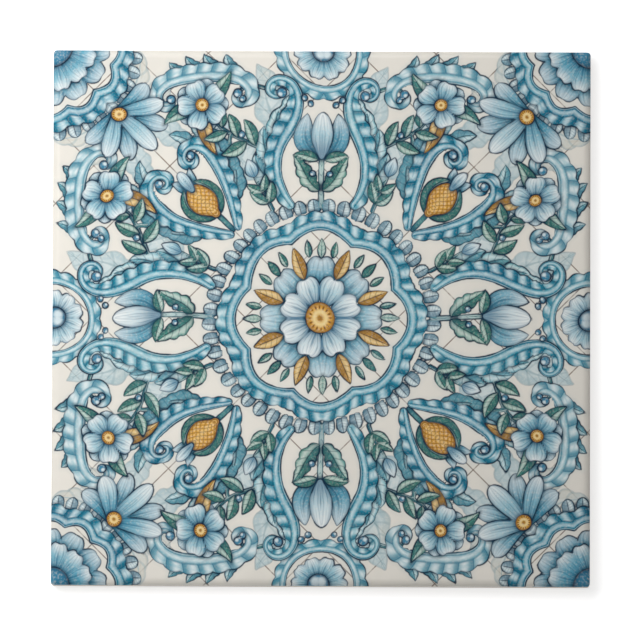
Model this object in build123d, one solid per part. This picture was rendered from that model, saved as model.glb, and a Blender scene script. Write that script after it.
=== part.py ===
from build123d import *
import os

# A square glazed ceramic wall tile, pressed from clay powder, glazed and fired as one piece.
# Millimetres, +Z up. It lies on its back with the glazed face up, and the origin is the
# middle of the plane that the back rests on.

# Outline
tile_side = 152.0
tile_thickness = 6.4
corner_radius = 1.0  # of the upright corners, seen from above

# Cushion edge: the glazed face falls away towards its four sides in one arc
cushion_width = 2.3
cushion_drop = 0.9
lip_radius = 0.35  # where the cushion turns into the side

# Sides: an upright land that faces the joint, and under it a draft that lets the die release
side_land_height = 3.0
side_draw_in = 0.45
back_edge_radius = 0.4

# Back: a rim and a lattice of ribs, with shallow keyed cells between them that hold adhesive
cells_per_side = 10
rib_width = 3.2
back_rim_width = 6.6
cell_depth = 0.7
cell_draft_degrees = 30.0
cell_corner_cut = 1.1  # along each side, at 45 degrees

# Worked out from the sizes above
half_side = tile_side / 2
lip_height = tile_thickness - cushion_drop
draft_height = lip_height - side_land_height
back_side = tile_side - 2 * side_draw_in
lattice_side = back_side - 2 * back_rim_width
cell_side = (lattice_side - (cells_per_side - 1) * rib_width) / cells_per_side
cell_pitch = cell_side + rib_width


def pressed_blank():
    # The outline as it leaves the die: upright above, drawn in towards the back below.
    land = Plane.XY.offset(draft_height) * RectangleRounded(tile_side, tile_side, corner_radius)
    back = RectangleRounded(back_side, back_side, corner_radius)
    upright = extrude(land, tile_thickness - draft_height)
    return upright + loft([back, land])


def cushion_prism():
    # The tile's section across its middle. Each fall is a quarter circle that is level where
    # it leaves the face, passes through the lip and runs on outside the tile. The section
    # also runs on below the back. Two of these prisms, crossed, shape all four edges.
    fall_start = half_side - cushion_width
    fall_radius = (cushion_width**2 + cushion_drop**2) / (2 * cushion_drop)
    fall_centre = tile_thickness - fall_radius
    with BuildSketch(Plane.XZ) as section:
        with BuildLine():
            Line((-fall_start, tile_thickness), (fall_start, tile_thickness))
            right_fall = CenterArc((fall_start, fall_centre), fall_radius, 90, -90)
            left_fall = CenterArc((-fall_start, fall_centre), fall_radius, 90, 90)
            below = -tile_thickness
            right_foot = ((right_fall @ 1).X, below)
            left_foot = ((left_fall @ 1).X, below)
            Polyline(left_fall @ 1, left_foot, right_foot, right_fall @ 1)
        make_face()
    return extrude(section.sketch, tile_side, both=True)


def edges_between(solid, low, high):
    # Every edge of the solid whose middle lies between two heights.
    return [edge for edge in solid.edges() if low < (edge @ 0.5).Z < high]


def back_cells():
    # One cell is a square with its corners cut, and it narrows as it goes in, so that the
    # ribs have draft and thicken where they cross.
    square = Rectangle(cell_side, cell_side)
    opening = chamfer(square.vertices(), cell_corner_cut)
    cell = extrude(opening, cell_depth, taper=cell_draft_degrees)
    grid = GridLocations(cell_pitch, cell_pitch, cells_per_side, cells_per_side)
    return [place * cell for place in grid]


def tile():
    along_y = cushion_prism()
    along_x = along_y.rotate(Axis.Z, 90)
    body = pressed_blank() & along_y & along_x
    lip = [e for e in edges_between(body, lip_height - 0.01, tile_thickness - 0.01)
           if max(abs((e @ 0.5).X), abs((e @ 0.5).Y)) > half_side - corner_radius / 2]
    body = fillet(lip, lip_radius)
    body = fillet(edges_between(body, -0.01, 0.01), back_edge_radius)
    return body - back_cells()


os.makedirs("parts", exist_ok=True)
export_step(tile(), "parts/tile.step")
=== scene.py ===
import bpy
import numpy as np
from mathutils import Matrix, Vector


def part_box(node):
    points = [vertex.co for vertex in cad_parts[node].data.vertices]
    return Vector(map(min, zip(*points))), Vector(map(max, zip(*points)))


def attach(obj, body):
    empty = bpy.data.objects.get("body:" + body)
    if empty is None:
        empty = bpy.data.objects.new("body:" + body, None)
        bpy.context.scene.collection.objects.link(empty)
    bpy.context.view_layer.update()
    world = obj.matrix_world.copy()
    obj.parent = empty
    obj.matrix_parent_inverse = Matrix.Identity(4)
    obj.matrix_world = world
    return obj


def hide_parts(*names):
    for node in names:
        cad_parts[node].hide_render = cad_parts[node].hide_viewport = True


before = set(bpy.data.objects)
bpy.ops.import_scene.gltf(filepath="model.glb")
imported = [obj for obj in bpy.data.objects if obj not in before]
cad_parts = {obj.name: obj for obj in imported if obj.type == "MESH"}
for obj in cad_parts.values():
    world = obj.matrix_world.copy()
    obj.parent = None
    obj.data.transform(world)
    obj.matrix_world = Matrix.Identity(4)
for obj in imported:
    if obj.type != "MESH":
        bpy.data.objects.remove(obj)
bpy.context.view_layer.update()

mm = 0.001
tileLow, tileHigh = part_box("tile")
halfSide = (tileHigh[0] - tileLow[0]) / 2
thickness = tileHigh[2] - tileLow[2]
print("frame loaded, tile side", round(2 * halfSide / mm, 2), "mm")


# Helpers for the painted pattern.
# A paint layer holds four numbers for each point of the tile, in millimetres where they are lengths:
# edge is the distance in from the nearest shape's outline (negative outside it), across runs from
# -1 to 1 over that shape's width, along from 0 to 1 over its length, and tint picks its colour.
patternHalf = 76.0  # millimetres from the middle of the pattern to the side of the tile
farOutside = -3.0
acrossReach, alongReach = 2.5, 1.2  # how far those two numbers may run outside a shape
flute = 4.2  # spacing of the lobes on the outer side of a band
fluteDepth = 0.7
flutedFrom = 2.2  # half-width from which the lobes of a scroll are at their full depth
turnGap = 5.5  # how far along a path lies what counts as another turn of its curl
green, teal, lilac = 0.0, 0.5, 1.0  # tints of leaves


def newLayer(x, y, inMillimetres):
    return {
        "x": x,
        "y": y,
        "edge": np.full(x.size, farOutside),
        **{part: np.zeros(x.size) for part in ("across", "along", "tint")},
        "inMillimetres": inMillimetres,  # whether along is kept as a length
    }


def lay(layer, where, edge, across, along, length, tint):
    # Where shapes of one layer meet, the one that a point lies deeper in wins
    wins = edge > layer["edge"][where]
    keep = where[wins]
    along = along * length if layer["inMillimetres"] else np.clip(along, -alongReach, alongReach)
    layer["edge"][keep] = edge[wins]
    layer["across"][keep] = np.clip(across[wins], -acrossReach, acrossReach)
    layer["along"][keep] = along[wins]
    layer["tint"][keep] = tint


def runningSum(values, step):
    # The area below a line through evenly spaced values, up to each of them
    return np.concatenate(([0], np.cumsum((values[1:] + values[:-1]) / 2))) * step


def bendPath(start, heading, length, bends, count=40):
    # A path of a given length whose bend, in degrees per millimetre, runs evenly through a list:
    # the heading is the running sum of the bend, and the place the running sum of the heading.
    step = length / (count - 1)
    bend = np.interp(np.linspace(0, 1, count), np.linspace(0, 1, len(bends)), bends)
    angle = np.radians(heading + runningSum(bend, step))
    east = runningSum(np.cos(angle), step)
    north = runningSum(np.sin(angle), step)
    return np.column_stack((start[0] + east, start[1] + north))


def straight(start, heading, length):
    return bendPath(start, heading, length, (0, 0), 12)


def fromMiddle(middle, heading, lengths, forward, backward, count=60):
    # A path given from its middle outwards, as a scroll that curls at both ends is drawn
    ahead = bendPath(middle, heading, lengths[0], forward, count)
    behind = bendPath(middle, heading + 180, lengths[1], backward, count)
    return np.concatenate((behind[:0:-1], ahead))


def widestOf(halfWidth):
    return halfWidth(np.linspace(0, 1, 33)).max()


def toOutline(off, halfWidth, along, length, steepest):
    # The distance to a slanting outline: the distance straight across to it, divided by the
    # length of its slope, so that a painted outline keeps one weight on a taper.
    small = 0.01
    after = halfWidth(np.clip(along + small, 0, 1))
    before = halfWidth(np.clip(along - small, 0, 1))
    slope = (after - before) / (2 * small * length)
    return off / np.sqrt(1 + np.minimum(np.abs(slope), steepest)**2)


def lobes(along, across):
    # Lobes on a band's outer side: the size of a sine along it, fading in from its middle line
    return fluteDepth * np.abs(np.sin(np.pi * along)) * np.clip(4 * across, 0, 1)


def sweep(layer, path, halfWidth, tint, outer=1, fluted=False):
    # Carries a half-width along a path: each point takes the nearest place on the path, its
    # share of the path's length as along, and its distance over the half-width as across.
    # Outer is 1 where the outer side of a band lies to the left of its path, and -1 otherwise.
    x, y = layer["x"], layer["y"]
    margin = widestOf(halfWidth) - farOutside
    low = path.min(0) - margin
    high = path.max(0) + margin
    where = np.nonzero((x > low[0]) & (x < high[0]) & (y > low[1]) & (y < high[1]))[0]
    if where.size == 0:
        return
    px = x[where][:, None]
    py = y[where][:, None]
    begin = path[:-1]
    step = path[1:] - begin
    length = np.hypot(step[:, 0], step[:, 1])
    t = ((px - begin[:, 0]) * step[:, 0] + (py - begin[:, 1]) * step[:, 1]) / length**2
    t = np.clip(t, 0, 1)
    dx = px - (begin[:, 0] + t * step[:, 0])
    dy = py - (begin[:, 1] + t * step[:, 1])
    squared = dx**2 + dy**2
    best = squared.argmin(1)
    row = np.arange(where.size)
    otherTurn = np.abs(np.arange(len(step)) - best[:, None]) * length.mean() > turnGap
    toOther = np.sqrt(np.where(otherTurn, squared, np.inf).min(1))
    dx, dy, t = dx[row, best], dy[row, best], t[row, best]
    distance = np.hypot(dx, dy)
    side = np.sign(step[best, 0] * dy - step[best, 1] * dx)
    travelled = np.concatenate(([0], np.cumsum(length)))
    total = travelled[-1]
    along = (travelled[best] + t * length[best]) / total
    width = halfWidth(along)
    narrowest = 0.15  # taken for the half-width at a pointed tip
    across = outer * side * distance / np.maximum(width, narrowest)
    edge = toOutline(width - distance, halfWidth, along, total, steepest=3)
    if fluted:
        edge = edge + lobes(along * total / flute, across) * np.minimum(width / flutedFrom, 1)
    edge = np.minimum(edge, (toOther - distance) / 2)  # the turns of a curl end half-way to each other
    lay(layer, where, edge, across, along, total, tint)


def fromCentre(layer, centre):
    # How far each point lies from a centre: to the right, up, and straight
    dx = layer["x"] - centre[0]
    dy = layer["y"] - centre[1]
    return dx, dy, np.hypot(dx, dy)


def petals(layer, centre, count, turn, inner, outer, halfWidth, tint, notch=0.0):
    # A ring of like petals: the angle about the centre is folded into one petal's share, and
    # that petal is a half-width carried straight outwards. A notch shortens its middle.
    dx, dy, r = fromCentre(layer, centre)
    where = np.nonzero((r < outer - farOutside) & (r > inner + farOutside))[0]
    share = 2 * np.pi / count
    angle = np.arctan2(dy[where], dx[where]) - np.radians(turn)
    angle = (angle + share / 2) % share - share / 2
    out = r[where] * np.cos(angle)
    aside = r[where] * np.sin(angle)
    notchWidth = 0.35 * widestOf(halfWidth)
    length = outer - inner - notch * np.exp(-(aside / notchWidth)**2)
    along = (out - inner) / length
    inside = np.clip(along, 0, 1)
    width = halfWidth(inside)
    narrowest = 0.2
    edge = toOutline(width - np.abs(aside), halfWidth, inside, length, steepest=2.5)
    beyond = (np.maximum(along - 1, 0) + np.maximum(-along, 0)) * length
    edge = np.where(beyond > 0, -np.hypot(np.maximum(-edge, 0), beyond), edge)
    lay(layer, where, edge, aside / np.maximum(width, narrowest), along, 1, tint)


def disc(layer, centre, radius, tint):
    # Across and along are a point's place from the centre, in radii
    dx, dy, r = fromCentre(layer, centre)
    where = np.nonzero(r < radius - farOutside)[0]
    lay(layer, where, radius - r[where], dx[where] / radius, dy[where] / radius, 1, tint)


def ring(layer, centre, radius, scallop, scallops, halfWidth, tint, flutes):
    # A band about a centre, whose radius rises and falls with the size of a cosine of the angle
    dx, dy, r = fromCentre(layer, centre)
    angle = np.arctan2(dy, dx)
    phase = scallops * angle / 2
    line = radius + scallop * (np.abs(np.cos(phase)) - 0.5)
    rise = scallop * scallops / 2 * np.sin(phase) * np.sign(np.cos(phase)) / np.maximum(r, 1)
    off = (r - line) / np.sqrt(1 + rise**2)
    across = off / halfWidth
    along = flutes * angle / (2 * np.pi)  # counted in lobes
    edge = halfWidth - np.abs(off) + lobes(along, across)
    where = np.nonzero(np.abs(off) < halfWidth - farOutside)[0]
    lay(layer, where, edge[where], across[where], along[where], flute, tint)


def leafWidth(widest, belly=0.8, power=0.9):
    # A sine over the length, with its widest place moved by a power
    return lambda t: widest * np.sin(np.pi * np.clip(t, 0, 1)**belly)**power


def lobedWidth(widest, scallops, depth=0.3):
    # The same sine, scalloped by the size of a faster one
    def width(t):
        t = np.clip(t, 0, 1)
        scallop = 1 - depth + depth * np.abs(np.sin(np.pi * (scallops * t + 0.15)))
        return widest * np.sin(np.pi * t**0.75)**0.8 * scallop
    return width


def petalWidth(widest, base=0.25, tip=0.6):
    # Opens from its base as a quarter sine, and closes as a quarter ellipse
    def width(t):
        opening = base + (1 - base) * np.sin(np.pi / 2 * np.clip(t / tip, 0, 1))
        closing = np.sqrt(np.clip(1 - (np.clip(t - tip, 0, 1) / (1 - tip))**2, 0, 1))
        return widest * np.where(t < tip, opening, closing)
    return width


def bandWidth(start, middle, end):
    # Straight runs from the start to the middle and the end, each drawn in at its very tip
    return lambda t: np.interp(t, (0, 0.12, 0.5, 0.88, 1), (start * 0.7, start, middle, end, end * 0.8))


def evenWidth(start, end):
    # One straight run from the start to the end
    return lambda t: start + (end - start) * t


def leafRow(layer, path, places, side, lengths, bend, shape, tint, lean):
    # Leaves that leave a path at the given shares of its length, leaning towards its end
    for place, length in zip(places, lengths):
        k = int(place * (len(path) - 2))
        step = path[k + 1] - path[k]
        heading = np.degrees(np.arctan2(step[1], step[0])) + side * lean
        leaf = bendPath(path[k], heading, length, (side * bend * 0.3, side * bend), 18)
        sweep(layer, leaf, shape(length), tint)


# The pattern, in one eighth of the tile: x runs out along an axis, y up to the diagonal.
# The other seven eighths are its mirror images, before the hand's wobble.


def onDiagonal(r, aside=0.0):
    return ((r + aside) / np.sqrt(2), (r - aside) / np.sqrt(2))


def lobedLeaf(length):
    return lobedWidth(0.25 * length, 3, 0.22)


def plainLeaf(length):
    return leafWidth(0.23 * length)


def centralMedallion(layers):
    middle = (0, 0)
    disc(layers["eye"], middle, 4.4, 0)
    petals(layers["petalFront"], middle, 8, 22.5, 3.6, 12.4, petalWidth(3.6, 0.3, 0.62), 0.1, 1.2)
    petals(layers["petalBack"], middle, 8, 0, 6.0, 18.0, petalWidth(4.5, 0.35, 0.55), 0.6, 1.0)
    petals(layers["goldLeaf"], middle, 8, 22.5, 11.5, 21.0, leafWidth(2.0), 0.0)
    petals(layers["leafFront"], middle, 8, 0, 16.6, 22.4, leafWidth(1.2), green)
    for turn in (11, -11):
        petals(layers["leafFront"], middle, 8, turn, 17.0, 22.0, leafWidth(1.05), green)
    ring(layers["band"], middle, 25.6, 2.4, 8, 2.5, 0.35, 40)
    petals(layers["leafBack"], middle, 48, 3.75, 29.4, 33.4, petalWidth(1.8, 0.85, 0.5), lilac)


def axisTulip(layers):
    stem = straight((31, 0), 0, 16)
    sweep(layers["leafBack"], stem, evenWidth(0.75, 0.75), green)
    innerPetal = straight((46.0, 0.0), 0, 13.0)
    sweep(layers["petalFront"], innerPetal, petalWidth(3.2, 0.3, 0.5), 0.1)
    outerPetal = bendPath((45.5, 0.8), 46, 14.5, (-1, -7.8, 1.5), 24)
    sweep(layers["petalBack"], outerPetal, leafWidth(3.1, 0.9, 0.75), 0.8)
    sepal = bendPath((45.0, 0.6), 75, 7.4, (-4, 12), 14)
    sweep(layers["leafFront"], sepal, leafWidth(1.6), green)
    lowLeaf = bendPath((36.0, 0.4), 58, 12.5, (-9, -1, 8), 24)
    sweep(layers["leafFront"], lowLeaf, lobedWidth(2.6, 4, 0.25), green)


def sideRosette(layers):
    # Half of a rosette, which the next tile completes
    middle = (patternHalf, 0.0)
    disc(layers["eye"], middle, 3.2, 1)
    petals(layers["petalFront"], middle, 10, 18, 2.2, 8.6, petalWidth(2.3, 0.3, 0.6), 0.4, 0.6)
    ring(layers["bandBack"], middle, 11.4, 0.0, 10, 1.7, 0.2, 18)


def lyreScroll(layers):
    # Frames the tulip, and curls away from the axis at its end
    scroll = bendPath((31.8, 8.8), 38, 49, (-2.4, -3.4, -2.6, 4, 15, 36), 120)
    sweep(layers["band"], scroll, bandWidth(2.0, 2.8, 1.3), 0.5, 1, True)
    disc(layers["eye"], scroll[-1], 1.5, 1)
    leafRow(layers["leafBack"], scroll, (0.14, 0.27, 0.39, 0.5), 1, (12, 11.5, 10.5, 9), -7, lobedLeaf,
            teal, 38)
    leafRow(layers["wash"], scroll, (0.2, 0.45, 0.66), 1, (17, 17, 15), -4, lobedLeaf, 0.4, 62)


def heartScroll(layers):
    # With its mirror image, a heart about the diagonal
    scroll = bendPath(onDiagonal(35.5, 1.6), 4.5, 41.6, (0.5, 1.3, 1.8, 3.5, 11, 22, 48), 110)
    sweep(layers["band"], scroll, bandWidth(1.7, 2.5, 1.2), 0.3, -1, True)
    disc(layers["eye"], scroll[-1], 1.3, 1)
    leafRow(layers["leafBack"], scroll, (0.18, 0.31, 0.44, 0.56, 0.67), -1, (12, 12, 11.5, 11, 9), -7,
            lobedLeaf, teal, 34)
    leafRow(layers["wash"], scroll, (0.33, 0.55, 0.72), -1, (16, 17, 16), -4, lobedLeaf, 0.2, 60)


def pomegranate(layers):
    stem = straight(onDiagonal(36), 45, 9)
    sweep(layers["leafBack"], stem, evenWidth(0.8, 0.8), green)
    body = straight(onDiagonal(42.5), 45, 10.5)
    sweep(layers["fruit"], body, petalWidth(4.0, 0.35, 0.45), 0.2)
    crown = straight(onDiagonal(52.0), 45, 6.0)
    sweep(layers["petalFront"], crown, petalWidth(1.7, 0.5, 0.5), 0.2)
    crownSide = bendPath(onDiagonal(51.5, 0.5), 20, 6.2, (3, -10), 16)
    sweep(layers["petalBack"], crownSide, leafWidth(1.6, 0.8, 0.8), 0.7)
    holdingLeaf = bendPath(onDiagonal(41.5, 0.6), -4, 14, (2, 10, 5), 24)
    sweep(layers["leafFront"], holdingLeaf, leafWidth(2.0, 0.85, 0.8), green)


def cornerRosette(layers):
    # A quarter of a rosette, which the next three tiles complete
    middle = (patternHalf, patternHalf)
    disc(layers["eye"], middle, 5.0, 1)
    petals(layers["petalFront"], middle, 12, 15, 4.2, 12.4, petalWidth(2.9, 0.3, 0.6), 0.8, 0.9)
    petals(layers["petalBack"], middle, 12, 0, 7.0, 16.2, petalWidth(3.5, 0.4, 0.6), 1.0, 0.6)
    ring(layers["band"], middle, 19.6, 1.6, 12, 2.3, 0.25, 32)
    petals(layers["leafBack"], middle, 36, 5, 21.6, 25.6, petalWidth(1.8, 0.85, 0.5), lilac)


def cornerFan(layers):
    # A fan of lobes that opens from the corner rosette towards the middle of the tile
    base = onDiagonal(82.8)
    for turn, length, bend, layer, tint in (
            (0, 15.5, 0, "petalFront", 0.5), (24, 15, 1.5, "petalBack", 0.85),
            (48, 14, 3.0, "petalFront", 0.7), (74, 12.5, 5.0, "petalBack", 0.9)):
        lobe = bendPath(base, 225 + turn, length, (0.2 * bend, bend), 20)
        sweep(layers[layer], lobe, petalWidth(2.6, 0.3, 0.7), tint)
    disc(layers["eye"], onDiagonal(81.5), 2.2, 0)
    for turn, length in ((66, 22), (98, 20)):
        leaf = bendPath(base, 225 + turn, length, (-1, 3, 7), 24)
        sweep(layers["wash"], leaf, lobedWidth(4.2, 5, 0.25), 1.0)


def sideScroll(layers):
    # Lies along the side of the tile, open towards the middle
    forward = (1.0, 2.2, 7, 18, 40)
    backward = (-1.0, -2.2, -8, -22, -44)
    scroll = fromMiddle((69.4, 33.0), 90, (24, 23), forward, backward)
    sweep(layers["bandBack"], scroll, lambda t: 1.1 + 1.6 * np.sin(np.pi * t), 0.6, -1, True)
    for end in (0, -1):
        disc(layers["eye"], scroll[end], 1.3, 1)
    leafRow(layers["leafBack"], scroll, (0.3, 0.4, 0.5, 0.6), -1, (7.5, 8, 8, 7), 6, lobedLeaf, teal, 32)


def floweringVine(layers):
    # From the back of the lyre scroll to a five-petalled flower inside the side scroll
    stem = bendPath((47.0, 14.2), 60, 27, (3, -1, -6, -5), 40)
    sweep(layers["leafBack"], stem, evenWidth(0.62, 0.45), green)
    leafRow(layers["leafFront"], stem, (0.3, 0.55), 1, (8, 7), -6, plainLeaf, green, 60)
    leafRow(layers["leafFront"], stem, (0.2, 0.42, 0.62), -1, (8, 7.5, 6.0), -6, plainLeaf, green, 55)
    middle = (60.4, 34.0)
    disc(layers["eye"], middle, 1.9, 0)
    petals(layers["petalFront"], middle, 5, 20, 1.4, 7.4, petalWidth(3.0, 0.3, 0.6), 0.45, 0.8)
    petals(layers["petalBack"], middle, 5, 56, 2.5, 7.6, petalWidth(2.3, 0.4, 0.6), 0.9)
    for heading, length, layer in ((100, 13, "leafFront"), (178, 15.5, "goldLeaf"), (300, 13, "leafFront")):
        leaf = bendPath(middle, heading, length, (2, 4), 16)
        sweep(layers[layer], leaf, leafWidth(2.2), green)


def sprig(layers):
    # A bud on a leafy stem, between the lyre and the heart
    stem = bendPath((30.6, 13.6), 22, 10.5, (2, -1), 16)
    sweep(layers["leafBack"], stem, evenWidth(0.6, 0.5), green)
    for side in (1, -1):
        leafRow(layers["leafFront"], stem, (0.25, 0.6), side, (6.5, 5.5), -6, plainLeaf, green, 42)
    bud = straight(stem[-1], 23, 6.0)
    sweep(layers["petalFront"], bud, leafWidth(1.9), 0.2)


def tendrils(layers):
    # Thin curls with a berry at the end
    for start, heading, length, bends in (
            ((63.6, 13.4), 62, 13.0, (4, 2, 16, 46)),
            ((45.5, 24.5), 30, 11.0, (-3, -6, -24, -50))):
        curl = bendPath(start, heading, length, bends, 40)
        sweep(layers["leafBack"], curl, evenWidth(0.62, 0.5), green)
        disc(layers["eye"], curl[-1], 1.0, 1)
    for place in ((61.2, 3.6), (62.6, 5.4), (41.0, 2.2)):
        disc(layers["eye"], place, 0.95, 1)


def waves(x, y, terms):
    # The sum of sine waves, each with its size, its turn for a step along x and y, and its start
    return sum(size * np.sin(alongX * x + alongY * y + start) for size, alongX, alongY, start in terms)


wobble = {
    "size": 0.3,  # millimetres
    "sideways": ((1, 0.113, 0.071, 0.4), (1, 0.051, -0.149, 2.1), (0.5, 0.29, 0.23, 0)),
    "upwards": ((1, -0.083, 0.121, 1.3), (1, 0.137, 0.047, 4.2), (0.5, 0.21, -0.31, 1)),
}


def handWobble(x, y):
    # Slow waves in several directions, so that no two repeats are quite the same
    size = wobble["size"]
    return x + size * waves(x, y, wobble["sideways"]), y + size * waves(x, y, wobble["upwards"])


layerNames = ("wash", "leafBack", "bandBack", "band", "petalBack", "goldLeaf", "leafFront", "fruit",
              "petalFront", "eye")  # in the order in which they are painted


def drawPattern(x, y):
    # Folds every place into the one eighth, where each motif is drawn once
    x, y = handWobble(x, y)
    x, y = np.abs(x), np.abs(y)
    x, y = np.maximum(x, y), np.minimum(x, y)
    layers = {name: newLayer(x, y, name.startswith("band")) for name in layerNames}
    for motif in (centralMedallion, axisTulip, sideRosette, lyreScroll, heartScroll, pomegranate,
                  cornerRosette, cornerFan, sideScroll, floweringVine, sprig, tendrils):
        motif(layers)
    return layers


# The tile's mesh

tileForm = {
    "cornerRadius": 1.0 * mm,
    "cushionWidth": 2.3 * mm,
    "cushionDrop": 0.9 * mm,
    "lipRadius": 0.35 * mm,
    "sideLand": 3.0 * mm,
    "sideDrawIn": 0.45 * mm,
    "backEdgeRadius": 0.4 * mm,
    "glazeWave": 0.02 * mm,  # the fired glaze lies a little unevenly, in three crossing waves
    "glazeWaves": ((1, 410, 190, 0), (1, -230, 370, 1), (1, 720, -510, 2)),
    "patternAbove": 5.0 * mm,  # points higher than this hold the painted pattern
    "flatCells": 286,  # of the grid on the level part of the face, each way
    "levelMargin": 0.1 * mm,  # from the level part's grid to the cushion
    "cushionCells": 7,
    "sideSteps": 44,  # along each straight side below the lip
    "cornerSteps": 8,
    "edgeSteps": 4,  # round the lip, and round the back's edge
    "landSteps": 6,
    "draftRings": (0.7, 0.4),  # shares of the drafted side's height
}
backForm = {
    "cells": 10,  # each way
    "ribWidth": 3.2 * mm,
    "rim": 6.6 * mm,
    "depth": 0.7 * mm,
    "draft": np.radians(30),
    "cornerCut": 1.1 * mm,  # of each cell's four corners, along its sides
}


def roundedPlan(x, y, half, radius):
    # Moves the corners of a square grid onto a rounded outline: inside each corner's own small
    # square, a square ring about the corner's centre becomes a circular one.
    cx = np.abs(x) - (half - radius)
    cy = np.abs(y) - (half - radius)
    inCorner = (cx > 0) & (cy > 0)
    ratio = np.ones_like(x)
    ratio[inCorner] = np.maximum(cx, cy)[inCorner] / np.hypot(cx, cy)[inCorner]
    newX = np.sign(x) * np.where(inCorner, half - radius + cx * ratio, np.abs(x))
    newY = np.sign(y) * np.where(inCorner, half - radius + cy * ratio, np.abs(y))
    return newX, newY


def faceHeight(x, y):
    # The cushion edge: towards each side the face falls along a circle that starts level. Where
    # two falls meet, at a corner, they are added as fourth powers, so that the glaze runs round.
    width = tileForm["cushionWidth"]
    radius = cushionRadius()

    def fall(distance):
        inward = np.clip(width - distance, 0, width)
        return radius - np.sqrt(radius**2 - inward**2)
    both = (fall(halfSide - np.abs(x))**4 + fall(halfSide - np.abs(y))**4)**0.25
    wave = waves(x, y, tileForm["glazeWaves"]) / len(tileForm["glazeWaves"])
    return thickness - both - tileForm["glazeWave"] * (1 + wave)


def cushionRadius():
    # Of the circle that drops by the cushion's drop over its width
    width, drop = tileForm["cushionWidth"], tileForm["cushionDrop"]
    return (width**2 + drop**2) / (2 * drop)


def lipAngle():
    # How steep the fall is where the lip's own small circle touches it
    lip = tileForm["lipRadius"]
    return np.arcsin((tileForm["cushionWidth"] - lip) / (cushionRadius() - lip))


def faceLines():
    # Grid lines across the face: even on the level part, closer together on the cushion
    lipInset = tileForm["lipRadius"] * (1 - np.sin(lipAngle()))
    level = halfSide - tileForm["cushionWidth"] - tileForm["levelMargin"]
    fall = np.linspace(level, halfSide - lipInset, tileForm["cushionCells"] + 1)
    flat = np.linspace(-level, level, tileForm["flatCells"] + 1)
    return np.concatenate((-fall[:0:-1], flat, fall[1:])), lipInset


def gridPoints(lines):
    return [a.ravel() for a in np.meshgrid(lines, lines)]


def gridFaces(count):
    # Quads of a square grid of points numbered row by row
    corner = np.arange(count - 1)[:, None] * count + np.arange(count - 1)[None]
    corner = corner.ravel()
    return np.column_stack((corner, corner + 1, corner + count + 1, corner + count))


def splitQuads(quads, points):
    # Each quad becomes two triangles, along the diagonal that leaves neither of them thin
    def areas(i, j, k):
        a, b, c = (points[quads[:, corner]] for corner in (i, j, k))
        return np.linalg.norm(np.cross(b - a, c - a), axis=1)
    one = np.minimum(areas(0, 1, 2), areas(0, 2, 3)) >= np.minimum(areas(0, 1, 3), areas(1, 2, 3))
    a, b, c, d = quads.T
    first = np.where(one, (a, b, c), (a, b, d)).T
    second = np.where(one, (a, c, d), (b, c, d)).T
    return np.concatenate((first, second))


def squareLoop(count):
    # The outermost points of such a square grid, anticlockwise from its first corner
    below = np.arange(count - 1)
    right = below * count + count - 1
    above = count * count - 1 - below
    left = (count - 1 - below) * count
    return np.concatenate((below, right, above, left))


def outline(inset, radius):
    # Rounded square, anticlockwise from the lower left corner, with its corners as arcs
    reach = halfSide - inset - radius
    turn = np.linspace(0, np.pi / 2, tileForm["cornerSteps"] + 1)
    run = np.linspace(0, 1, tileForm["sideSteps"] + 1)[1:-1, None]
    points = []
    for quarter in range(4):
        start = np.pi + quarter * np.pi / 2
        centre = np.sqrt(2) * reach * np.array((np.cos(start + np.pi / 4), np.sin(start + np.pi / 4)))
        arc = centre + radius * np.column_stack((np.cos(start + turn), np.sin(start + turn)))
        side = np.array((-centre[1], centre[0])) - centre
        points.append(arc)
        points.append(arc[-1] + run * side)
    return np.concatenate(points)


def zipLoops(outer, inner, outerXy, innerXy):
    # Triangles between two closed loops with different counts: both are laid out by their
    # angle about the middle, and the points are taken in that order, a triangle for each.
    def turnOf(xy):
        return (np.arctan2(xy[:, 1], xy[:, 0]) - np.arctan2(-1, -1)) % (2 * np.pi)
    turnOuter, turnInner = turnOf(outerXy), turnOf(innerXy)
    outer, turnOuter = outer[np.argsort(turnOuter)], np.sort(turnOuter)
    inner, turnInner = inner[np.argsort(turnInner)], np.sort(turnInner)
    onOuter = np.concatenate((np.ones(outer.size, bool), np.zeros(inner.size, bool)))
    order = np.argsort(np.concatenate((turnOuter, turnInner)), kind="stable")
    onOuter = onOuter[order]
    atOuter = (np.cumsum(onOuter) - 1) % outer.size
    atInner = (np.cumsum(~onOuter) - 1) % inner.size
    beforeOuter = (atOuter - 1) % outer.size
    beforeInner = (atInner - 1) % inner.size
    third = np.where(onOuter, inner[atInner], outer[atOuter])
    old = np.where(onOuter, outer[beforeOuter], inner[beforeInner])
    new = np.where(onOuter, outer[atOuter], inner[atInner])
    return np.column_stack((np.where(onOuter, old, new), np.where(onOuter, new, old), third))


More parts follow.
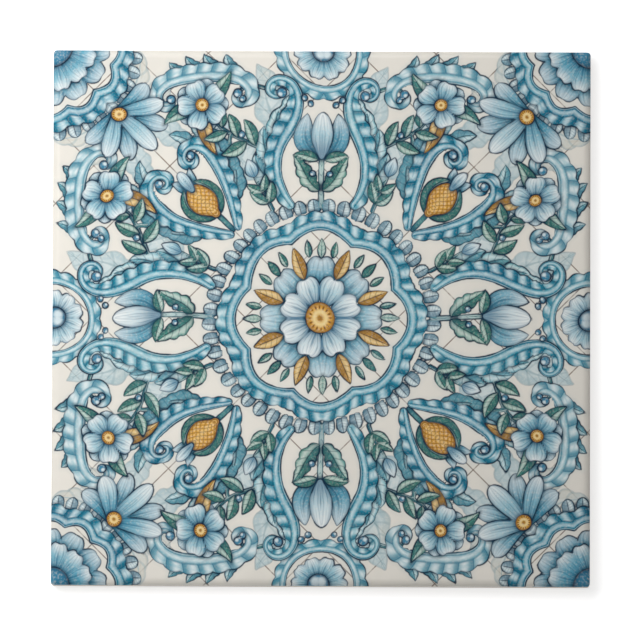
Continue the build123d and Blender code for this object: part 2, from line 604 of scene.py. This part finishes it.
def sideRings():
    # The section below the face, from the lip to the back. Each ring has its inset from the
    # side, the radius of its corners, and either its drop below the lip's top or its height.
    lip, back, draw = tileForm["lipRadius"], tileForm["backEdgeRadius"], tileForm["sideDrawIn"]
    corner = tileForm["cornerRadius"]
    top = lipAngle()
    rings = []
    for a in np.linspace(top, np.pi / 2, tileForm["edgeSteps"] + 1)[1:]:
        inset = lip * (1 - np.sin(a))
        rings.append((inset, corner - inset, lip * (np.cos(top) - np.cos(a)), None))
    landTop = thickness - cushionRadius() + (cushionRadius() - lip) * np.cos(top)
    landLow = thickness - tileForm["cushionDrop"] - tileForm["sideLand"]
    for height in np.linspace(landTop, landLow, tileForm["landSteps"] + 1)[1:]:
        rings.append((0.0, corner, None, height))
    for share in tileForm["draftRings"]:
        rings.append((draw * (1 - share), corner, None, share * landLow))
    slant = np.arctan(draw / landLow)
    middle = draw * (1 - back / landLow) + back / np.cos(slant)
    for a in np.linspace(slant, np.pi / 2, tileForm["edgeSteps"] + 1):
        inset = middle - back * np.cos(a)
        rings.append((inset, corner - max(inset - draw, 0), None, back * (1 - np.sin(a))))
    return rings


def backLines():
    # Grid lines across the back: its edge, and six for each cell, at the cell's opening, at
    # the foot of its wall and at the ends of its cut corners
    side = 2 * (halfSide - tileForm["sideDrawIn"])
    count, rib = backForm["cells"], backForm["ribWidth"]
    cell = (side - 2 * backForm["rim"] - (count - 1) * rib) / count
    wall = backForm["depth"] * np.tan(backForm["draft"])
    cut = backForm["cornerCut"]
    inCell = np.array((0, wall, cut, cell - cut, cell - wall, cell))
    starts = -side / 2 + backForm["rim"] + np.arange(count) * (cell + rib)
    inner = (starts[:, None] + inCell).ravel()
    edge = halfSide - tileForm["sideDrawIn"] - 3 * tileForm["backEdgeRadius"]
    return np.concatenate(((-edge,), inner, (edge,))), starts, cell, wall


def backGrid():
    # Every point of the grid knows how far it lies inside its cell, each way. Points nearer to
    # a cell's corner than its cut are pushed out onto the cut, level by level.
    lines, starts, cell, wall = backLines()
    gx, gy = gridPoints(lines)

    def insideCell(v):
        nearest = starts[np.abs(v[:, None] - starts - cell / 2).argmin(1)]
        return np.minimum(v - nearest, nearest + cell - v), np.sign(nearest + cell / 2 - v)
    px, wayX = insideCell(gx)
    py, wayY = insideCell(gy)
    tiny = 1e-7
    inCell = (px > -tiny) & (py > -tiny)
    onFloor = (px > wall - tiny) & (py > wall - tiny)
    cut = backForm["cornerCut"] + np.where(onFloor, wall * np.sqrt(2), 0)
    push = np.where(inCell, np.maximum(cut - px - py, 0) / 2, 0)
    floor = np.where(onFloor, backForm["depth"], 0.0)
    return np.column_stack((gx + wayX * push, gy + wayY * push, floor)), len(lines)


onFace, onSide, onBack = 0, 1, 2  # the regions of the tile's faces


def buildTile():
    # The face's grid, the rings of the sides below it and the back's grid, each zipped to the next
    lines, lipInset = faceLines()
    count = len(lines)
    gx, gy = roundedPlan(*gridPoints(lines), halfSide - lipInset, tileForm["cornerRadius"] - lipInset)
    points = [np.column_stack((gx, gy, faceHeight(gx, gy)))]
    faces = [gridFaces(count)]
    region = [np.full(len(faces[0]), onFace)]
    above = squareLoop(count)
    aboveXy = points[0][above][:, :2]
    total = count * count
    lipXy = outline(lipInset, tileForm["cornerRadius"] - lipInset)
    lipTop = faceHeight(lipXy[:, 0], lipXy[:, 1])
    for k, (inset, radius, drop, height) in enumerate(sideRings()):
        xy = outline(inset, radius)
        z = lipTop - drop if height is None else np.full(len(xy), height)
        points.append(np.column_stack((xy, z)))
        loop = total + np.arange(len(xy))
        if k == 0:
            faces.append(zipLoops(loop, above, xy, aboveXy))
        else:
            before = loop - len(xy)
            faces.append(np.column_stack((before, loop, np.roll(loop, -1), np.roll(before, -1))))
        region.append(np.full(len(faces[-1]), onSide))
        total += len(xy)
    backPoints, backCount = backGrid()
    points.append(backPoints)
    faces.append(splitQuads(gridFaces(backCount), backPoints)[:, ::-1] + total)
    region.append(np.full(len(faces[-1]), onBack))
    backEdge = squareLoop(backCount)
    strip = zipLoops(loop, backEdge + total, xy, backPoints[backEdge][:, :2])
    faces.append(strip[:, ::-1])
    region.append(np.full(len(strip), onBack))
    return np.concatenate(points), faces, np.concatenate(region)


uvLayout = {  # all as shares of the square
    "margin": 0.001,
    "face": 0.8,
    "back": 0.16,
    "backMiddle": (0.91, 0.1),
    "stripLength": 0.98,
    "stripHeight": 0.04,
    "stripStep": 0.045,
    "firstStrip": 0.815,
    "section": (-0.9 * mm, 7.6 * mm),  # where the sides' section starts, and how far it runs
}


def bakeUv(points, corners, faceOf, region):
    # The face fills most of the square, the back lies beside it, and the four sides are
    # strips above it. The height of a side's strip follows the section round lip and foot.
    p = points[corners]
    acrossTile = p[:, :2] / (2 * halfSide)
    where = region[faceOf]
    uv = uvLayout["face"] * (acrossTile + 0.5) + uvLayout["margin"]
    back = where == onBack
    uv[back] = uvLayout["backMiddle"] + uvLayout["back"] * acrossTile[back]
    counts = np.bincount(faceOf)
    middle = np.column_stack([np.bincount(faceOf, p[:, k]) / counts for k in (0, 1)])[faceOf]
    onX = np.abs(middle[:, 0]) > np.abs(middle[:, 1])
    quarter = np.where(onX, np.where(middle[:, 0] > 0, 0, 1), np.where(middle[:, 1] > 0, 2, 3))
    alongSide = np.where(onX, acrossTile[:, 1], acrossTile[:, 0])
    inset = halfSide - np.where(onX, np.abs(p[:, 0]), np.abs(p[:, 1]))
    start, run = uvLayout["section"]
    upSection = (p[:, 2] + np.where(p[:, 2] > thickness / 2, inset, -inset) - start) / run
    low = uvLayout["firstStrip"] + uvLayout["stripStep"] * quarter
    strip = np.column_stack((0.5 + uvLayout["stripLength"] * alongSide,
                             low + uvLayout["stripHeight"] * upSection))
    side = where == onSide
    uv[side] = strip[side]
    return uv


def keepPattern(mesh, points):
    # Each layer becomes a vector attribute, of edge, across and along, and a number, its tint
    painted = np.nonzero(points[:, 2] > tileForm["patternAbove"])[0]
    layers = drawPattern(points[painted, 0] / mm, points[painted, 1] / mm)
    for name in layerNames:
        field = np.zeros((len(points), 3), np.float32)
        field[:, 0] = farOutside
        for k, part in enumerate(("edge", "across", "along")):
            field[painted, k] = layers[name][part]
        tint = np.zeros(len(points), np.float32)
        tint[painted] = layers[name]["tint"]
        kept = mesh.attributes.new(name + "Field", "FLOAT_VECTOR", "POINT")
        kept.data.foreach_set("vector", field.ravel())
        kept = mesh.attributes.new(name + "Tint", "FLOAT", "POINT")
        kept.data.foreach_set("value", tint)


def makeTile():
    points, faceGroups, region = buildTile()
    sizes = np.concatenate([np.full(len(group), group.shape[1]) for group in faceGroups])
    corners = np.concatenate([group.ravel() for group in faceGroups])
    faceOf = np.repeat(np.arange(len(sizes)), sizes)
    mesh = bpy.data.meshes.new("glazedTile")
    mesh.vertices.add(len(points))
    mesh.vertices.foreach_set("co", points.astype(np.float32).ravel())
    mesh.loops.add(len(corners))
    mesh.loops.foreach_set("vertex_index", corners.astype(np.int32))
    mesh.polygons.add(len(sizes))
    starts = np.concatenate(([0], np.cumsum(sizes)[:-1]))
    mesh.polygons.foreach_set("loop_start", starts.astype(np.int32))
    mesh.update(calc_edges=True)
    mesh.validate(verbose=False)
    mesh.polygons.foreach_set("use_smooth", region != onBack)
    uv = bakeUv(points, corners, faceOf, region)
    mesh.uv_layers.new(name="OFBake").uv.foreach_set("vector", uv.astype(np.float32).ravel())
    keepPattern(mesh, points)
    obj = bpy.data.objects.new("glazedTile", mesh)
    bpy.context.scene.collection.objects.link(obj)
    triangles = int((sizes - 2).sum())
    print("tile mesh made,", triangles, "triangles")
    return obj


# Its material: glaze with the painting on it above, bare fired clay below

paint = {
    "ground": "F0EBE1",
    "groundCloud": "E6E2D9",
    "ink": "03243C",
    "outlineWidth": (0.2, 0.38),  # millimetres, to either side of a shape's edge
    "outlineStrength": (0.52, 0.97),
    "handShake": 0.11,  # millimetres
    "hairline": "7F6C5D",
    "hairlineSpacing": 15.2 * mm,
    "hairlineWidth": (0.006, 0.016),  # shares of the spacing: full up to the first, gone at the second
    "halo": "A9BFC6",  # a thin wash on the ground round each shape
    "haloStrength": 0.13,
    "shade": "0A3C52",  # where one shape lies over another
    "shadeStrength": 0.52,
    "thinning": 0.4,  # how much of the ground shows where the colour is thinnest
    "washOutline": "4F7C92",
}
layerRecipes = {  # light and dark are a colour each, and the most that shows of it
    "wash": {
        "kind": "wash", "tints": ("BFD3D8", "A9C8D0", "D5CFC0"),
        "light": ("E6EEED", 0.6), "dark": ("669AA8", 0.4),
    },
    "leafBack": {
        "kind": "leaf", "tints": ("6BAA9F", "82C2CF", "B9CFD8"),
        "light": ("EAF3F1", 0.65), "dark": ("145F78", 0.5),
    },
    "bandBack": {
        "kind": "band", "tints": ("5FB4C6", "A9D0D8"),
        "light": ("EEF6F6", 0.85), "dark": ("146C8A", 0.52),
    },
    "band": {
        "kind": "band", "tints": ("1F8CAB", "2BA6BF", "8BCBD5"),
        "light": ("E4F3F4", 0.82), "dark": ("084C68", 0.6),
    },
    "petalBack": {
        "kind": "petal", "tints": ("BDDAE2", "8AC0D1", "52A2BC"),
        "light": ("F0F5F5", 0.7), "dark": ("0E5674", 0.6),
    },
    "goldLeaf": {
        "kind": "leaf", "tints": ("D9A750", "C08B40", "C08B40"),
        "light": ("F4E2B0", 0.6), "dark": ("674524", 0.5),
    },
    "leafFront": {
        "kind": "leaf", "tints": ("549A8B", "5FAABD", "ACC0CB"),
        "light": ("E8F0E7", 0.6), "dark": ("123F4A", 0.5),
    },
    "petalFront": {
        "kind": "petal", "tints": ("D6E6EA", "A3CFDB", "5CADC6"),
        "light": ("F7F9F7", 0.8), "dark": ("166688", 0.6),
    },
    "fruit": {
        "kind": "fruit", "tints": ("DFA94A", "C98F3C"),
        "light": ("F6DE9E", 0.7), "dark": ("7A4A1A", 0.6),
    },
    "eye": {
        "kind": "eye", "tints": ("DDA544", "3C86A6"),
        "light": ("F6E2A8", "E4F0F2"), "dark": ("6E4218", "0D3A58"),  # a flower's and a berry's
    },
}
body = {
    "clay": "D9CDBB",
    "claySpeck": "A08B72",
    "clayCloud": "C9BBA6",
    "glazeRough": 0.09,
    "clayRough": 0.85,
    "glazeEnds": 4.2 * mm,  # height at which the glaze thins out on the sides
    "glazeRagged": 0.5 * mm,
    "paintEnds": 5.45 * mm,
    "paintFade": 0.2 * mm,
    "glazeFade": 0.12 * mm,
    "grain": 0.1 * mm,  # height of the clay's roughness
    "glazeRipple": 0.12,  # of that height
    "glazeIor": 1.5,
}
aboveNothing = 100  # added before a fraction is taken, which has to be of a positive number


def linear(code):
    # A colour code as the linear red, green and blue that a socket holds
    srgb = np.array([int(code[k:k + 2], 16) for k in (0, 2, 4)]) / 255
    value = np.where(srgb <= 0.04045, srgb / 12.92, ((srgb + 0.055) / 1.055)**2.4)
    return (*[float(v) for v in value], 1.0)


class Nodes:
    # A new material, and short ways to add nodes to it: a value given to them is a number, a
    # colour code or another node's output.
    def __init__(self, name):
        self.material = bpy.data.materials.new(name)
        self.material.use_nodes = True
        self.tree = self.material.node_tree
        self.tree.nodes.clear()

    def add(self, kind):
        return self.tree.nodes.new("ShaderNode" + kind)

    def put(self, socket, value):
        if isinstance(value, bpy.types.NodeSocket):
            self.tree.links.new(value, socket)
        elif isinstance(value, str):
            socket.default_value = linear(value)
        else:
            socket.default_value = value

    def math(self, operation, *values):
        node = self.add("Math")
        node.operation = operation
        for socket, value in zip(node.inputs, values):
            self.put(socket, value)
        return node.outputs[0]

    def plus(self, first, second):
        return self.math("ADD", first, second)

    def minus(self, first, second):
        return self.math("SUBTRACT", first, second)

    def times(self, first, second):
        return self.math("MULTIPLY", first, second)

    def size(self, value):
        return self.math("ABSOLUTE", value)

    def smooth(self, value, start, end, low=0.0, high=1.0):
        node = self.add("MapRange")
        node.interpolation_type = "SMOOTHSTEP"
        for name, given in zip(("Value", "From Min", "From Max", "To Min", "To Max"),
                               (value, start, end, low, high)):
            self.put(node.inputs[name], given)
        return node.outputs[0]

    def mix(self, share, first, second):
        node = self.add("Mix")
        node.data_type = "RGBA"
        for socket, given in zip((0, 6, 7), (share, first, second)):
            self.put(node.inputs[socket], given)
        return node.outputs[2]

    def coats(self, colour, *coats):
        # Lays coats over a colour, one after another, each with how much of it covers
        for share, coat in coats:
            colour = self.mix(share, colour, coat)
        return colour

    def ramp(self, value, codes):
        node = self.add("ValToRGB")
        elements = node.color_ramp.elements
        for k, code in enumerate(codes):
            place = k / (len(codes) - 1)
            element = elements[k] if k < 2 else elements.new(place)
            element.position = place
            element.color = linear(code)
        self.put(node.inputs[0], value)
        return node.outputs[0]

    def noise(self, where, size, detail=2.0, roughness=0.5):
        node = self.add("TexNoise")
        for name, given in (("Vector", where), ("Scale", 1 / size), ("Detail", detail),
                            ("Roughness", roughness)):
            self.put(node.inputs[name], given)
        return node.outputs["Fac"]

    def sway(self, noise, reach):
        # A noise moved to lie about nought, from half its reach below to half above
        return self.times(self.minus(noise, 0.5), reach)

    def attribute(self, name, output):
        node = self.add("Attribute")
        node.attribute_name = name
        return node.outputs[output]

    def split(self, vector):
        node = self.add("SeparateXYZ")
        self.put(node.inputs[0], vector)
        return node.outputs

    def finish(self, shader):
        self.tree.links.new(shader.outputs[0], self.add("OutputMaterial").inputs["Surface"])
        return self.material


def bell(n, value, middle, width, height):
    # Its height at the value's middle, falling smoothly to nothing at a width to either side
    return n.smooth(n.size(n.minus(value, middle)), 0.0, width, height, 0.0)


def squares(n, first, second):
    return n.math("MULTIPLY_ADD", first, first, n.times(second, second))


def brushStreaks(n, along, across, lengthwise, crosswise):
    # Noise drawn out along a shape, as the hairs of a brush leave it
    node = n.add("CombineXYZ")
    n.put(node.inputs[0], n.times(along, lengthwise))
    n.put(node.inputs[1], n.times(across, crosswise))
    return n.noise(node.outputs[0], 1.0)


def sideVeins(n, along, across, closeness, slant, strength):
    # Where a cosine peaks along a leaf, drawn back towards the leaf's sides
    phase = n.minus(n.times(along, closeness), n.times(n.size(across), slant))
    return n.smooth(n.math("COSINE", phase), 0.7, 1.0, 0.0, strength)


def shadeBand(n, base, edge, across, along, tint, light, lightShare, dark, darkShare):
    # The inner side is a smooth moulding, and the outer side a row of lobes
    streak = brushStreaks(n, along, across, 0.3, 2.6)
    slanted = n.math("MULTIPLY_ADD", across, 0.22, aboveNothing)
    place = n.math("FRACT", n.plus(n.math("DIVIDE", along, flute), slanted))
    lobe = n.coats(
        n.mix(0.25, base, dark),
        (bell(n, place, 0.42, 0.42, lightShare), light),
        (n.smooth(streak, 0.4, 0.7, 0.0, 0.45), base),
        (bell(n, place, 1.0, 0.42, darkShare), dark),
        (bell(n, place, 0.0, 0.1, 0.9), dark))
    return n.coats(
        base,
        (n.smooth(streak, 0.35, 0.65, 0.0, 0.3), dark),
        (n.times(bell(n, across, -0.35, 0.4, lightShare), n.smooth(streak, 0.2, 0.6, 1.0, 0.6)), light),
        (bell(n, across, -0.95, 0.4, 0.5), dark),
        (bell(n, across, -0.84, 0.1, 0.5), light),
        (n.smooth(across, 0.0, 0.22), lobe),
        (bell(n, across, 0.1, 0.2, darkShare), dark),
        (bell(n, across, -0.68, 0.1, 0.4), dark))


def shadeLeaf(n, base, edge, across, along, tint, light, lightShare, dark, darkShare):
    # Lit on one side, dark on the other and at its foot, with veins
    streak = brushStreaks(n, along, across, 2.5, 2.2)
    return n.coats(
        base,
        (n.smooth(streak, 0.4, 0.7, 0.0, 0.4), dark),
        (bell(n, across, 0.45, 0.55, lightShare), light),
        (n.plus(n.smooth(across, 0.25, -0.9, 0.0, darkShare), n.smooth(along, 0.35, 0.0, 0.0, 0.4)), dark),
        (sideVeins(n, along, across, 34.0, 5.0, 0.4), dark),
        (bell(n, across, 0.0, 0.16, 0.75), paint["ink"]))


def shadePetal(n, base, edge, across, along, tint, light, lightShare, dark, darkShare):
    # Light at its tip, dark at its foot and sides, streaked lengthwise, with a fold in the middle
    streak = brushStreaks(n, along, across, 1.2, 4.5)
    return n.coats(
        base,
        (n.smooth(along, 0.4, 1.0, 0.0, lightShare), light),
        (n.times(n.smooth(streak, 0.4, 0.7), n.smooth(along, 1.0, 0.5, 0.25, 0.7)), dark),
        (n.smooth(along, 0.55, 0.05, 0.0, darkShare), dark),
        (n.smooth(n.size(across), 0.5, 0.95, 0.0, 0.35), dark),
        (n.times(bell(n, across, 0.0, 0.12, 0.7), n.smooth(along, 0.8, 0.4)), dark))


def shadeFruit(n, base, edge, across, along, tint, light, lightShare, dark, darkShare):
    # Seeds in the meshes of a slanting net
    threads = []
    for slant in (8.0, -8.0):
        threads.append(n.size(n.math("COSINE", n.math("MULTIPLY_ADD", across, slant, n.times(along, 20.0)))))
    return n.coats(
        base,
        (bell(n, across, 0.3, 0.7, lightShare), light),
        *((n.smooth(thread, 0.45, 0.1, 0.0, 0.6), dark) for thread in threads),
        (n.smooth(n.times(*threads), 0.75, 1.0, 0.0, 0.7), light),
        (n.smooth(edge, 1.4, 0.1, 0.0, darkShare), dark))


def shadeEye(n, base, edge, across, along, tint, light, berryLight, dark, berryDark):
    # At one end of its tints a flower's centre, with stamens round a pit, at the other a berry
    light = n.ramp(tint, (light, berryLight))
    dark = n.ramp(tint, (dark, berryDark))
    flower = n.minus(1.0, tint)
    reach = n.math("SQRT", squares(n, across, along))
    spokes = n.math("COSINE", n.times(n.math("ARCTAN2", along, across), 16.0))
    stamens = n.times(bell(n, reach, 0.68, 0.2, 0.9), n.smooth(spokes, -0.3, 0.7))
    toShine = squares(n, n.plus(across, 0.3), n.minus(along, 0.3))
    return n.coats(
        base,
        (n.times(bell(n, reach, 0.4, 0.3, 0.75), flower), light),
        (n.times(n.smooth(reach, 0.28, 0.1, 0.0, 0.6), flower), dark),
        (n.times(stamens, flower), dark),
        (n.times(n.smooth(toShine, 0.3, 0.0, 0.0, 0.85), tint), light),
        (n.smooth(reach, 0.6, 1.0, 0.0, 0.6), dark))


def shadeWash(n, base, edge, across, along, tint, light, lightShare, dark, darkShare):
    # A pale leaf, streaked with light, with faint veins
    streak = brushStreaks(n, along, across, 2.5, 2.0)
    return n.coats(
        base,
        (n.smooth(streak, 0.35, 0.7, 0.0, lightShare), light),
        (n.smooth(along, 0.6, 0.0, 0.0, darkShare), dark),
        (sideVeins(n, along, across, 30.0, 4.0, 0.35), dark),
        (bell(n, across, 0.0, 0.14, 0.6), dark))


shaders = {"band": shadeBand, "leaf": shadeLeaf, "petal": shadePetal, "fruit": shadeFruit, "eye": shadeEye,
           "wash": shadeWash}


def paintOver(n, colour, covered, name, hand):
    # Lays one layer over the colour below it, and returns the new colour and what is covered
    recipe = layerRecipes[name]
    kind = recipe["kind"]
    edge, across, along = n.split(n.attribute(name + "Field", "Vector"))[:3]
    tint = n.attribute(name + "Tint", "Fac")
    if kind != "eye":
        tint = n.math("MULTIPLY_ADD", hand["drift"], 0.5 if kind == "leaf" else 1.0, tint)
    edge = n.plus(edge, hand["shake"])
    base = n.mix(hand["thin"], n.ramp(tint, recipe["tints"]), paint["ground"])
    inside = shaders[kind](n, base, edge, across, along, tint, *recipe["light"], *recipe["dark"])
    inside = n.mix(n.smooth(edge, 0.7, 0.2, 0.0, 0.25), inside, recipe["dark"][0])  # pooled at its edge
    if kind == "wash":
        line = n.times(bell(n, edge, 0.0, 0.3, 0.45), hand["ink"])
        filled = n.smooth(edge, -0.1, 0.25, 0.0, 0.8)
        return n.coats(colour, (filled, inside), (line, paint["washOutline"])), covered
    filled = n.smooth(edge, -0.1, 0.1)
    line = n.smooth(n.size(n.minus(edge, 0.05)), 0.02, hand["line"], 1.0, 0.0)
    halo = n.times(n.smooth(edge, -1.5, 0.0, 0.0, paint["haloStrength"]), n.minus(1.0, covered))
    shade = n.times(n.smooth(edge, -1.1, 0.0, 0.0, paint["shadeStrength"]), covered)
    colour = n.coats(colour, (halo, paint["halo"]), (shade, paint["shade"]), (filled, inside),
                     (n.times(line, hand["ink"]), paint["ink"]))
    return colour, n.math("MAXIMUM", covered, filled)


def hairlines(n, place, colour, broken):
    # A slanting net of thin lines on the bare ground
    x, y = n.split(place)[:2]
    for sign in (1.0, -1.0):
        slanted = n.math("DIVIDE", n.math("MULTIPLY_ADD", y, sign, x), paint["hairlineSpacing"] * np.sqrt(2))
        share = n.math("FRACT", n.plus(slanted, 0.5 + aboveNothing))
        line = n.smooth(n.size(n.minus(share, 0.5)), *paint["hairlineWidth"], 1.0, 0.0)
        colour = n.mix(n.times(line, broken), colour, paint["hairline"])
    return colour


def makeMaterial():
    n = Nodes("glazedCeramic")
    place = n.add("TexCoord").outputs["Object"]
    height = n.split(place)[2]
    wide = n.noise(place, 2.6 * mm)
    fine = n.noise(place, 0.9 * mm)
    pressure = n.noise(place, 4.0 * mm, 1.0)
    hand = {
        "shake": n.plus(n.sway(wide, 2 * paint["handShake"]), n.sway(fine, paint["handShake"])),
        "ink": n.smooth(pressure, 0.35, 0.6, *paint["outlineStrength"]),
        "line": n.smooth(pressure, 0.35, 0.65, *paint["outlineWidth"]),
        "drift": n.sway(n.noise(place, 11 * mm, 1.0), 1.4),
        "thin": n.smooth(n.noise(place, 0.7 * mm, 3.0), 0.45, 0.75, 0.0, paint["thinning"]),
    }
    cloud = n.noise(place, 14 * mm, 3.0)
    ground = n.mix(n.smooth(cloud, 0.35, 0.7, 0.0, 0.5), paint["ground"], paint["groundCloud"])
    colour = hairlines(n, place, ground, n.smooth(wide, 0.3, 0.55, 0.35, 0.85))
    covered = 0.0
    for name in layerNames:
        colour, covered = paintOver(n, colour, covered, name, hand)
    painted = n.smooth(height, body["paintEnds"] - body["paintFade"], body["paintEnds"])
    colour = n.mix(painted, ground, colour)
    # Bare clay below the glaze's ragged end
    level = n.plus(height, n.sway(n.noise(place, 5 * mm, 3.0), 2 * body["glazeRagged"]))
    glazed = n.smooth(level, body["glazeEnds"] - body["glazeFade"], body["glazeEnds"] + body["glazeFade"])
    speck = n.noise(place, 0.5 * mm, 3.0, 0.7)
    clay = n.mix(n.smooth(speck, 0.58, 0.72, 0.0, 0.55), body["clay"], body["claySpeck"])
    clay = n.mix(n.smooth(cloud, 0.35, 0.7, 0.0, 0.4), clay, body["clayCloud"])
    shader = n.add("BsdfPrincipled")
    n.put(shader.inputs["Base Color"], n.mix(glazed, clay, colour))
    n.put(shader.inputs["Roughness"], n.smooth(glazed, 0.0, 1.0, body["clayRough"], body["glazeRough"]))
    n.put(shader.inputs["IOR"], body["glazeIor"])
    bump = n.add("Bump")
    n.put(bump.inputs["Strength"], 1.0)
    n.put(bump.inputs["Distance"], body["grain"])
    clayHeight = n.times(speck, n.smooth(glazed, 0.0, 1.0, 1.0, 0.0))
    ripple = n.times(n.noise(place, 1.8 * mm, 1.0), n.smooth(glazed, 0.0, 1.0, 0.0, body["glazeRipple"]))
    n.put(bump.inputs["Height"], n.plus(clayHeight, ripple))
    n.put(shader.inputs["Normal"], bump.outputs[0])
    print("material made,", len(n.tree.nodes), "nodes")
    return n.finish(shader)


# Floor, world, light and camera

studio = {
    "floorSize": 3.0,
    "floorColour": "F2F2F2",
    "floorGlow": 0.64,  # only what the camera and reflections see of the floor
    "worldStrength": 0.2,
    # place, aim, diameter, watts, seen in the gloss
    "softbox": ((-0.29, 0.43, 0.48), (0, 0, 0), 0.8, 1.8, True),
    "overhead": ((-0.14, 0.06, 0.25), (-0.14, 0.06, 0), 0.3, 0.58, False),
}
view = {
    "distance": 4.0,
    "focal": 791.7,
    "towardsLeft": 0.3,  # degrees that the camera stands to the left of the tile's middle
    "towardsFront": 6.3,  # and to the front of it, so that a thin band of the front side shows
    "roll": 0.21,
    "aim": (0.0002, -0.00121),
}


def makeFloor():
    bpy.ops.mesh.primitive_plane_add(size=studio["floorSize"], location=(0, 0, 0))
    floor = bpy.context.object
    floor.name = "studioFloor"
    n = Nodes("studioFloor")
    diffuse = n.add("BsdfDiffuse")
    n.put(diffuse.inputs["Color"], studio["floorColour"])
    rays = n.add("LightPath").outputs
    seen = n.math("MAXIMUM", n.math("MAXIMUM", rays["Is Camera Ray"], rays["Is Glossy Ray"]),
                  rays["Is Transmission Ray"])
    glow = n.add("Emission")
    n.put(glow.inputs["Strength"], n.times(seen, studio["floorGlow"]))
    both = n.add("AddShader")
    n.put(both.inputs[0], diffuse.outputs[0])
    n.put(both.inputs[1], glow.outputs[0])
    floor.data.materials.append(n.finish(both))
    print("floor made")


def makeLight():
    world = bpy.data.worlds.new("studioWorld")
    world.use_nodes = True
    background = world.node_tree.nodes["Background"].inputs
    background["Color"].default_value = (1, 1, 1, 1)
    background["Strength"].default_value = studio["worldStrength"]
    bpy.context.scene.world = world
    for name in ("softbox", "overhead"):
        place, aim, size, watts, inGloss = studio[name]
        lamp = bpy.data.lights.new(name, "AREA")
        lamp.shape = "DISK"
        lamp.size = size
        lamp.energy = watts
        lampObject = bpy.data.objects.new(name, lamp)
        lampObject.location = place
        lampObject.rotation_euler = (Vector(aim) - Vector(place)).to_track_quat("-Z", "Y").to_euler()
        lampObject.visible_glossy = inGloss
        lampObject.visible_camera = False
        bpy.context.scene.collection.objects.link(lampObject)
    print("world and lamps made")


def makeCamera():
    # Looks straight at its aim on the face, and is then turned by its roll
    camera = bpy.data.cameras.new("camera")
    camera.sensor_width = 36
    camera.lens = view["focal"]
    camera.clip_start = 0.01
    cameraObject = bpy.data.objects.new("camera", camera)
    left, front = np.radians(view["towardsLeft"]), np.radians(view["towardsFront"])
    out = Vector((-np.sin(left), -np.sin(front), np.sqrt(1 - np.sin(left)**2 - np.sin(front)**2)))
    aim = Vector((*view["aim"], thickness))
    right = (-out).cross(Vector((0, 1, 0))).normalized()
    up = right.cross(-out)
    roll = np.radians(view["roll"])
    turnedRight = right * np.cos(roll) + up * np.sin(roll)
    turnedUp = up * np.cos(roll) - right * np.sin(roll)
    matrix = Matrix((turnedRight, turnedUp, out)).transposed().to_4x4()
    matrix.translation = aim + view["distance"] * out
    cameraObject.matrix_world = matrix
    bpy.context.scene.collection.objects.link(cameraObject)
    bpy.context.scene.camera = cameraObject
    print("camera placed")


tile = makeTile()
tile.data.materials.append(makeMaterial())
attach(tile, "root")
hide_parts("tile")
makeFloor()
makeLight()
makeCamera()
bpy.context.scene.view_settings.view_transform = "Standard"
print("scene done")
